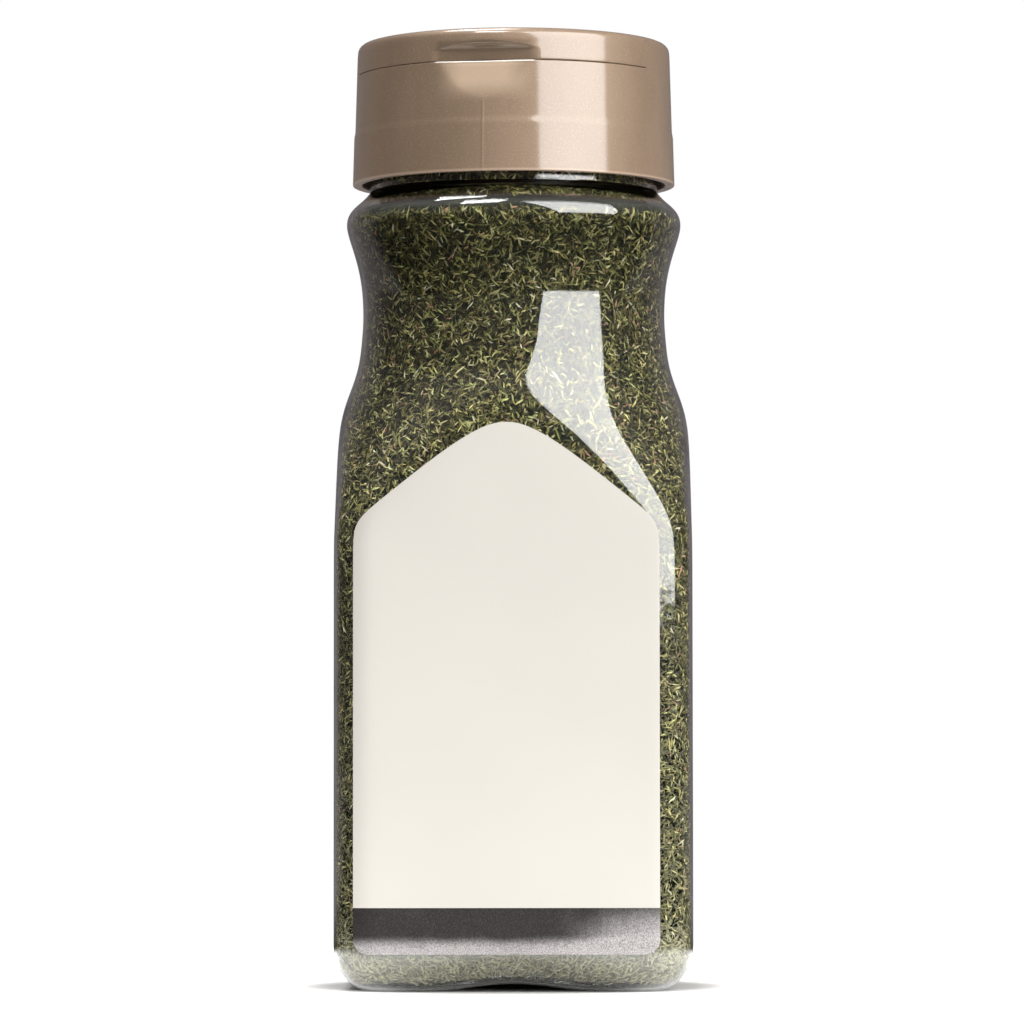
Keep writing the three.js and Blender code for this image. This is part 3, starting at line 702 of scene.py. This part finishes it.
def makeDill():
    random = np.random.default_rng(11)
    material = driedDill()
    inset = jar["wall"] + dill["wallGap"]
    groups = {"Right": [], "Back": [], "Left": [], "Front": []}

    def sideSurface(angle, height):
        return ringOf(angle, fillRadius(angle, height, inset), height)

    for make, count in ((straightFlakes, dill["sideFlakes"]), (curledFlakes, dill["curledFlakes"])):
        angle, height = flakePlaces(random, count)
        flakes, faces, shade = make(random, *framesOn(sideSurface, angle, height))
        tints = flakeColours(random, count) * shade[:, None]
        # painted light and shade: darker under the shoulder ring, lighter low down and in the neck under the
        # cap
        tints *= np.interp(height, *zip(*dill["lightAndShadeByHeight"]))[:, None]
        # a pale haze towards the bottom: painted reflection and painted light from the floor
        hazeShares = np.interp(height, *zip(*dill["hazeShares"]))[:, None]
        tints = tints * (1 - hazeShares) + np.array(dill["hazeColour"]) * hazeShares * shade[:, None] ** 0.5
        quarter = np.round(angle / (np.pi / 2)).astype(int) % 4
        for side, group in enumerate(groups.values()):
            group.append((flakes[quarter == side], faces, tints[quarter == side]))
    for side, group in groups.items():
        dress("dill" + side, flakeMesh(group), material, "jar", "dill")

    ends = []
    for make, top, count in (
        (straightFlakes, True, dill["topFlakes"]), (straightFlakes, False, dill["baseFlakes"]),
        (curledFlakes, True, dill["topFlakes"] // 20),
    ):
        angle, share = random.uniform(0, 2 * np.pi, count), np.sqrt(random.uniform(0.0004, 1, count))
        if top:  # rising from the rim to the middle
            surface, radius = topSurface, (jar["neckBore"] - dill["rimGap"]) * share
        else:
            surface, radius = baseSurface, heelReach(angle) * share
        flakes, faces, shade = make(random, *framesOn(surface, angle, radius))
        # the flakes on the base are darkened: painted shade
        tints = flakeColours(random, count) * (1 if top else dill["baseShade"])
        ends.append((flakes, faces, tints * shade[:, None]))
    dress("dillEnds", flakeMesh(ends), material, "jar", "dill")

    angle = np.linspace(0, 2 * np.pi, 160, endpoint=False)
    depth = inset + dill["coreDepth"]
    neckSide = jar["neckBore"] - dill["coreDepth"]
    rings = []
    for share in (0.02, 0.3, 0.6, 0.85, 1):
        rings.append(baseSurface(angle, share * heelReach(angle), dill["coreDepth"]))
    for height in (*np.linspace(0.003, 0.132, 86), *np.linspace(0.1325, dill["rimHeight"] - 0.0008, 24)):
        draw = smoothStep(dill["gap"][0] + 0.0008, dill["gap"][1] + 0.0004, height)  # in under the shoulder
        wallSide = fillRadius(angle, min(height, dill["gap"][1] - 1e-6), depth)
        bumps = random.uniform(0, dill["coreBumps"], len(angle))
        radius = wallSide * (1 - draw) + neckSide * draw - bumps
        rings.append(ringOf(angle, radius, height))
    for share in (0.9, 0.75, 0.55, 0.35, 0.15, 0.02):
        radius = share * neckSide
        bumps = random.uniform(-0.0006, 0.0002, len(angle)) * min(1, 3 * share)
        rings.append(ringOf(angle, radius, moundHeight(radius) - dill["heap"] + bumps))
    dress("dillCore", meshFrom(*loft(rings)), paintedDillShade(), "jar", "dill")


makeDill()
print("dill made")


def frontPoint(across, height, out):  # on the front panel, moved out along its normal
    def onPanel(x, z):
        depth = np.full(np.shape(x), jar["halfWidth"])
        for _ in range(12):
            radius = bodyRadius(np.arctan2(x, depth), z)
            depth = np.sqrt(np.maximum(1e-6, radius ** 2 - x ** 2))
        return atHeight(x, -depth, z)

    near = 0.00005  # steps for the panel's two slopes
    side = onPanel(across + near, height) - onPanel(across - near, height)
    rise = onPanel(across, height + near) - onPanel(across, height - near)
    point = onPanel(across, height)
    heel = jar["heelRadius"]
    if height < heel:  # the panel turns in to the base there
        turn = math.asin((heel - height) / heel)
        point[..., 1] += heel * (1 - math.cos(turn))
        rise = np.tile([0.0, math.sin(turn), math.cos(turn)], (len(across), 1))
    return point + out * unit(np.cross(side, rise))


def labelFace():
    shader = Shader("labelFace")
    height = shader.axis("Z")
    band = height < label["bandTop"]
    fibre = shader.noise(2600, 3, 0.6)
    specks = shader.noise(5200, 1).between(0.70, 0.78)
    tone = shader.noise(35, 2).between(0.3, 0.7)
    paper = shader.mixColour(tone, *label["paper"])
    paper = shader.mixColour(specks * 0.35, paper, label["speck"])
    grain = shader.noise(1, 3, 0.65, shader.stretched(6500, 6500, 5000))
    # painted reflection on the foil: lighter along its foot and towards its right, and in uneven patches
    paintedSheen = 0.4 * shader.noise(170, 3, 0.6) + 0.75 * height.between(*label["footPaintedSheen"])
    right = shader.axis("X").between(*label["rightPaintedSheen"])
    paintedSheen += 0.8 * right * height.between(*label["rightPaintedSheenTop"])
    foil = shader.mixColour(paintedSheen.between(0.2, 1.1), *label["foil"])
    foil = shader.mixColour(grain.between(0.65, 0.35), foil, label["foilGrain"], "MULTIPLY")
    colour = shader.mixColour(band, paper, foil)
    rough = 0.62 - 0.22 * band + 0.12 * grain
    bump = shader.bump(0.4 * fibre * (1 - band) + grain * band, 0.5, 0.00006)
    return shader.finish(shader.surface(
        Base_Color=colour, Metallic=0.45 * band, Roughness=rough, Specular_IOR_Level=0.35, Normal=bump,
    ))


def makeLabel():
    drops = (label["peak"] - label["bandTop"]) * np.linspace(1, 0, 90) ** 1.5
    low = label["foot"] + (label["bandTop"] - label["foot"]) * np.linspace(0, 1, 18) ** 1.4
    heights = [*low[:-1], *(label["peak"] - drops)]
    shares = np.sin(np.linspace(-1, 1, 41) * math.pi / 2)
    sections = []
    for height in heights:
        reach = max(labelReach(height), 0.0002)
        across = label["shift"] + shares * reach
        face = frontPoint(across, height, label["lift"] + label["thickness"])
        back = frontPoint(across, height, label["lift"])
        sections.append(np.concatenate([face, back[::-1]]))
    dress("labelSheet", meshFrom(*loft(sections)), labelFace(), "jar", "label")


makeLabel()
print("label made")


cap = {  # angles in degrees
    "turn": -10.6, "foot": 0.1413, "top": 0.1663, "footRadius": 0.0285, "topRadius": 0.02775,
    "stepHeight": 0.1496, "stepRun": 0.0014, "step": 0.00016,  # above it the skirt is a little narrower
    "edgeRound": 0.0015, "ledgeRound": 0.0003, "footRound": 0.0002, "bore": 0.0268, "boreTop": 0.1564,
    "landBore": 0.02575, "landFoot": 0.1576, "landHeight": 0.1597, "landRadius": 0.022,
    "deckFoot": 0.1606, "deckTop": 0.1622, "deckRadius": 0.0256, "underDeck": 0.16075, "sunk": 0.00005,
    "threadCrest": 0.02645, "threadFoot": 0.1451, "threadRows": (0.1560, 0.1416, -0.0003),
    "skirtRows": ((0.1418, 0.1492, 0.0012), (0.1494, 0.1512, 0.0002), (0.1515, 0.1602, 0.0004)),
    "parting": 0.1606,  # height where the flaps' aprons end and the ledge under them starts
    "sectorHalf": 68.2, "wallInner": 0.0259, "wallRows": (0.1612, 0.1622, 0.1632, 0.1641),  # of the upstands
    "notchDepth": 0.0012, "notchFoot": 0.1539,  # of the flat dish under each flap
    "lineHeight": 0.00007, "lineHalf": 0.55,  # of the mould line
    "barHalf": 0.00685, "barRound": 0.00025, "barHollow": (0.021, 0.0055, 0.1648),  # half sizes and height
    "beadHalf": 0.0236, "beadAcross": 0.00698, "beadHeight": 0.16613, "bead": (0.00017, 0.00015),  # folds
}
bronze = {  # colours, and where they lie on the front: half widths and heights, from none to full. The lip, dish and ledge colours are painted highlights, the recess colour is painted shade
    "flow": ((0.247, 0.170, 0.110), (0.286, 0.199, 0.132)), "mica": (0.42, 0.31, 0.22),
    "lip": (0.66, 0.48, 0.36), "lipHighlightHeight": (0.1419, 0.1414),
    # the dish and the ledge colours are painted highlights
    "dish": (0.72, 0.545, 0.39), "dishHalf": (0.0095, 0.003), "dishHeight": (0.153, 0.1575),
    "ledge": (0.98, 0.93, 0.86), "ledgeHalf": (0.0090, 0.0084), "ledgeHeight": (0.16025, 0.1605),
    # the recess colour is painted shade under the flap's lip
    "recess": (0.10, 0.065, 0.035), "recessHalf": (0.0092, 0.0075), "recessHeight": (0.1606, 0.1611),
    "recessTop": (0.1645, 0.1637),
}
flap = {
    "span": 68.0, "end": 72.9, "hingeLine": 0.00715, "foot": 0.16066, "footRound": 0.00015,
    "plateFoot": 0.1644, "plateEnd": 0.0251, "plateRound": 0.0002, "apronInner": 0.0259,
    "rows": (0.1612, 0.1645, 0.00016), "recessTop": (0.1624, 0.1640), "recessDepth": 0.00145,
    "plugFoot": 0.1614, "plugTop": 0.16535, "plugClearance": 0.0006, "plugWall": 0.0011, "pegRound": 0.0002,
}
cutReach = 60  # degrees from a flap's middle, where the flat cuts in it and under it have long run out
spoonHole = {"half": 0.016, "near": -0.0102, "far": -0.0204, "corner": 0.003, "bow": 0.0012}
sifterHole = {"radius": 0.00245, "apart": 0.0066, "rows": ((5, 0.0126), (4, 0.0186))}  # holes, how far back
sifterPlaces = [
    (sifterHole["apart"] * (hole - (count - 1) / 2), back)
    for count, back in sifterHole["rows"] for hole in range(count)
]
capTurn = Matrix.Rotation(math.radians(cap["turn"]), 4, "Z")


def capRadius(height):
    share = (height - cap["foot"]) / (cap["top"] - cap["foot"])
    step = cap["step"] * smoothStep(cap["stepHeight"], cap["stepHeight"] + cap["stepRun"], height)
    return cap["footRadius"] + (cap["topRadius"] - cap["footRadius"]) * share - step


def around(turn, radius, height):  # points at angles from the front of the cap, in degrees
    return atHeight(radius * np.sin(np.radians(turn)), -radius * np.cos(np.radians(turn)), height)


def eitherRows(chosen, first, second):  # rows of (radius, height): the first list's where chosen is true
    return [tuple(np.where(chosen, a, b) for a, b in zip(*rows)) for rows in zip(first, second)]


def softCut(radius, face, turn, soft=0.00008):  # a radius cut back by a flat face in front, with a soft edge
    over = radius - face / np.cos(np.radians(turn))
    return radius - 0.5 * (over + np.sqrt(over ** 2 + soft ** 2)) + 0.5 * soft * np.exp(-abs(over) / soft)


def circle(x, y, radius, count):
    return arc(x, y, radius, 0, 360, count + 1)[:-1]


def spoonOutline(inset):
    half, near = spoonHole["half"] - inset, spoonHole["near"] - inset
    far, corner = spoonHole["far"] + inset, spoonHole["corner"] - 0.5 * inset
    curve = list(zip((0.4 * half, far), (0.82 * half, far + spoonHole["bow"]), (half, near - corner)))
    right = []
    for t in np.linspace(0, 1, 12)[:-1]:
        right.append(tuple((1 - t) ** 2 * a + 2 * t * (1 - t) * b + t * t * c for a, b, c in curve))
    right += arc(half - corner, near - corner, corner, 0, 90, 9)
    return right + [(-x, y) for x, y in right[::-1]]


def bronzePlastic():
    shader = Shader("bronzePlastic")
    flow = shader.noise(70, 3, 0.6, shader.stretched(1, 1, 0.45))
    mica = shader.noise(4200, 2)
    colour = shader.mixColour(flow.between(0.3, 0.7), *bronze["flow"])
    colour = shader.mixColour(mica.between(0.5, 0.75) * 0.45, colour, bronze["mica"])
    height = shader.axis("Z")
    # painted highlight along the cap's foot
    colour = shader.mixColour(height.between(*bronze["lipHighlightHeight"]) * 0.6, colour, bronze["lip"])
    turn = math.radians(cap["turn"])
    across = shader.maths("ABSOLUTE", math.cos(turn) * shader.axis("X") + math.sin(turn) * shader.axis("Y"))
    front = shader.axis("Y") < 0
    below = front * (height < cap["parting"])
    above = front * height.between(*bronze["recessTop"])
    # painted highlights on the dish and on the ledge below the parting, and painted shade in the flap's
    # recess
    for name, where, strength in (("dish", below, 0.5), ("ledge", below, 0.9), ("recess", above, 0.45)):
        where *= across.between(*bronze[name + "Half"]) * height.between(*bronze[name + "Height"])
        colour = shader.mixColour(where * strength, colour, bronze[name])
    rough = 0.48 + 0.10 * flow + 0.05 * mica
    bump = shader.bump(shader.noise(150, 3) + 0.12 * mica, 0.2, 0.00012)
    return shader.finish(shader.surface(
        Base_Color=colour, Metallic=0.38, Roughness=rough, Normal=bump,
        Coat_Weight=1.0, Coat_Roughness=0.12, Coat_IOR=1.74,
    ))


def skirt():
    mouldLine = np.array([-0.9, -0.6, -0.3, 0.3, 0.6, 0.9])
    upstandSides = [side * (90 + way * off) for side in (-1, 1) for way in (-1, 1) for off in (21.69, 21.71)]
    behind = [side * turn for side in (-1, 1) for turn in (179.1, 179.4, 179.7)]
    turn = np.unique(np.concatenate([np.arange(-180, 180, 1.5), mouldLine, behind, upstandSides]))
    facing = np.where(abs(turn) > 90, 180 - abs(turn), abs(turn))  # from the middle of the nearer flap
    upstand = facing > cap["sectorHalf"]
    parting, notchFoot = cap["parting"], cap["notchFoot"]

    def outside(height):
        radius = capRadius(height)
        slant = (height - notchFoot) / (parting - notchFoot)
        face = capRadius(notchFoot) * (1 - slant) + (capRadius(parting) - cap["notchDepth"]) * slant
        cut = softCut(radius, face, np.minimum(facing, cutReach)) if height > notchFoot - 0.0008 else radius
        line = cap["lineHeight"] * np.maximum(0, 1 - facing / cap["lineHalf"])
        return cut + line * smoothStep(notchFoot, notchFoot - 0.0006, height)

    bore, foot, corner = cap["bore"], cap["foot"], cap["footRound"]
    rings = arc(bore + corner, foot + corner, corner, 180, 270, 5)
    rings += arc(outside(foot + corner) - corner, foot + corner, corner, 270, 360, 6)
    for low, high, step in cap["skirtRows"]:
        rings += [(outside(height), height) for height in np.arange(low, high, step)]
    edge, edgeRound, deckRadius = outside(parting), cap["ledgeRound"], cap["deckRadius"]
    top, inner, rounded = cap["top"], cap["wallInner"], cap["edgeRound"]
    ledge = [(edge, parting - edgeRound - 0.00001 * i) for i in range(4, 0, -1)]
    ledge += arc(edge - edgeRound, parting - edgeRound, edgeRound, 0, 90, 7)
    ledge += [(radius, parting) for radius in (0.0265, 0.0262, inner, deckRadius + 0.0001, deckRadius)]
    sunk = cap["deckTop"] - cap["sunk"]  # the upstands end inside the deck
    brim = [(capRadius(height), height) for height in cap["wallRows"]]
    brim += arc(capRadius(top) - rounded, top - rounded, rounded, 0, 90, 7)
    brim += [(inner + 0.00002, top), (inner, top - 0.0001), (inner, 0.1635)]
    brim += [(inner, sunk), (deckRadius, sunk)]
    rings += eitherRows(upstand, brim, ledge)
    rings += [(0.0255, cap["underDeck"]), (cap["landRadius"], cap["underDeck"])]
    rings += [(cap["landRadius"], cap["landHeight"]), (cap["landBore"], cap["landHeight"])]
    rings += [(cap["landBore"], cap["landFoot"]), (bore, cap["boreTop"])]
    for height in np.arange(*cap["threadRows"]):
        ridge = (bore - cap["threadCrest"]) * threadRise(np.radians(turn), height, cap["threadFoot"])
        rings.append((bore - ridge, height))
    return loft([around(turn, radius, height) for radius, height in rings], closedAround=True)


def deck():
    hollowHalf, hollowDepth, _ = cap["barHollow"]

    def outlines(edge):
        x, y = hollowHalf + edge, hollowDepth + edge
        slot = [(x, y), (-x, y), (-x, -y), (x, -y)]
        holes = [circle(*place, sifterHole["radius"] + edge, 28) for place in sifterPlaces]
        return [circle(0, 0, cap["deckRadius"] - edge, 160), spoonOutline(-edge), slot, *holes]

    return plate(outlines, cap["deckFoot"], cap["deckTop"])


def bar():
    half, foot, top, rounded = cap["barHalf"], cap["deckTop"] - 0.0001, cap["top"], cap["barRound"]
    hollowHalf, hollowDepth, hollowTop = cap["barHollow"]
    right = [(half, foot), (half, 0.1635), (half, 0.165)]
    right += arc(half - rounded, top - rounded, rounded, 0, 90, 5)
    right += [(0.0045, top), (0.002, top)]
    outer = right + [(-y, z) for y, z in right[::-1]]
    reach = cap["wallInner"]
    ends = [hollowHalf / reach - 0.0002, hollowHalf / reach + 0.0002]
    sections = []
    for share in (-1, -0.9, *[-e for e in ends[::-1]], *np.linspace(-0.78, 0.78, 27), *ends, 0.9, 1):
        high = hollowTop if abs(share) < hollowHalf / reach else foot
        left = [(-hollowDepth, foot), (-hollowDepth, high)]
        inner = [*left, (0, high), *[(-y, z) for y, z in left[::-1]]]
        sections.append([(share * math.sqrt(reach ** 2 - y ** 2), y, z) for y, z in outer + inner])
    return loft(sections)


def hingeBead(side):  # the fold of a flap's thin hinge, along its axis
    wide, high = cap["bead"]
    middle, height = side * cap["beadAcross"], cap["beadHeight"]
    ring = [(middle + wide * y, height + high * z) for y, z in circle(0, 0, 1, 9)]
    return loft([[(x, *point) for point in ring] for x in np.linspace(-cap["beadHalf"], cap["beadHalf"], 30)])


def dressCap(name, parts, turn, material, node):  # one of its pieces, whose body has its node's name
    mesh = meshFrom(*joined(parts))
    mesh.transform(turn)
    dress(name, mesh, material, node, node)


def makeCap(material):
    parts = [skirt(), deck(), bar(), hingeBead(-1), hingeBead(1)]
    dressCap("capShell", parts, capTurn, material, "cap")


def flapShell():
    span, last = flap["span"], flap["end"]
    left, right = np.linspace(-last, -span - 0.02, 5), np.linspace(span + 0.02, last, 5)
    turn = np.concatenate([left, np.arange(-span, span + 0.1, 1), right])
    apron = abs(turn) < span + 0.01
    hinge = flap["hingeLine"] / np.cos(np.radians(turn))
    foot, under, inner, end = flap["foot"], flap["plateFoot"], flap["apronInner"], flap["plateEnd"]
    top, rounded, corner, edge = cap["top"], cap["edgeRound"], flap["footRound"], flap["plateRound"]

    def outside(height):
        depth = flap["recessDepth"] * (1 - smoothStep(*flap["recessTop"], height))
        radius = capRadius(height)
        cut = softCut(radius, capRadius(top) - depth, np.minimum(abs(turn), cutReach))
        return np.where(depth > 1e-6, cut, radius)

    # Rows from the plate's underside, round the apron and up to the top; plain ones lie beside the apron
    full = [(inner - 0.0003, under), (inner - 0.0001, under - 0.00008), (inner, under - 0.0003)]
    full += [(inner, foot + 0.0016), (inner, foot + 0.00012), (inner + 0.00012, foot)]
    plain = [(end - back, under) for back in (0.0004, 0.0003, 0.0002, 0.00015, 0.0001)]
    plain.append((end - 0.00006, under + 0.00002))
    full += arc(outside(foot + corner) - corner, foot + corner, corner, -90, 0, 4)
    plain += [(end, under + 0.0001 + 0.00002 * row) for row in range(len(plain), len(full))]
    rows = np.arange(*flap["rows"])
    for i, height in enumerate(rows):
        full.append((outside(height), height))
        plain.append((end, under + 0.0004 + (top - under - 0.0007) * i / len(rows)))
    full += arc(capRadius(top) - rounded, top - rounded, rounded, 8, 90, 9)
    plain += arc(end - edge, top - edge, edge, 8, 90, 9)
    rings = [(hinge, np.full(len(turn), under))]
    for share in (0.3, 0.7):
        rings.append((hinge + share * (np.where(apron, inner, end) - hinge - 0.0006), under))
    rings += eitherRows(apron, full, plain)
    rim = np.where(apron, capRadius(top) - rounded, end - edge)
    for share in (0.8, 0.5, 0.2):
        rings.append((hinge + edge + share * (rim - hinge - edge), top))
    rings += [(hinge + edge, top), (hinge + 0.00006, top - 0.00006), (hinge, top - edge)]
    return loft(np.stack([around(turn, radius, height) for radius, height in rings], 1))


def makeFlaps(material):
    inset, low, high = flap["plugClearance"], flap["plugFoot"], flap["plugTop"]

    def spoonPlug(edge):
        return [spoonOutline(inset + edge), spoonOutline(inset + flap["plugWall"] - edge)]

    parts = [flapShell(), plate(spoonPlug, low, high)]
    dressCap("spoonFlap", parts, capTurn, material, "flap_spoon")

    parts = [flapShell()]
    for x, y in sifterPlaces:
        def peg(edge):
            return [circle(-x, -y, sifterHole["radius"] - inset - edge, 24)]
        parts.append(plate(peg, low, high, flap["pegRound"]))
    dressCap("sifterFlap", parts, capTurn @ Matrix.Rotation(math.pi, 4, "Z"), material, "flap_sifter")


capPlastic = bronzePlastic()
makeCap(capPlastic)
makeFlaps(capPlastic)
print("cap and flaps made")
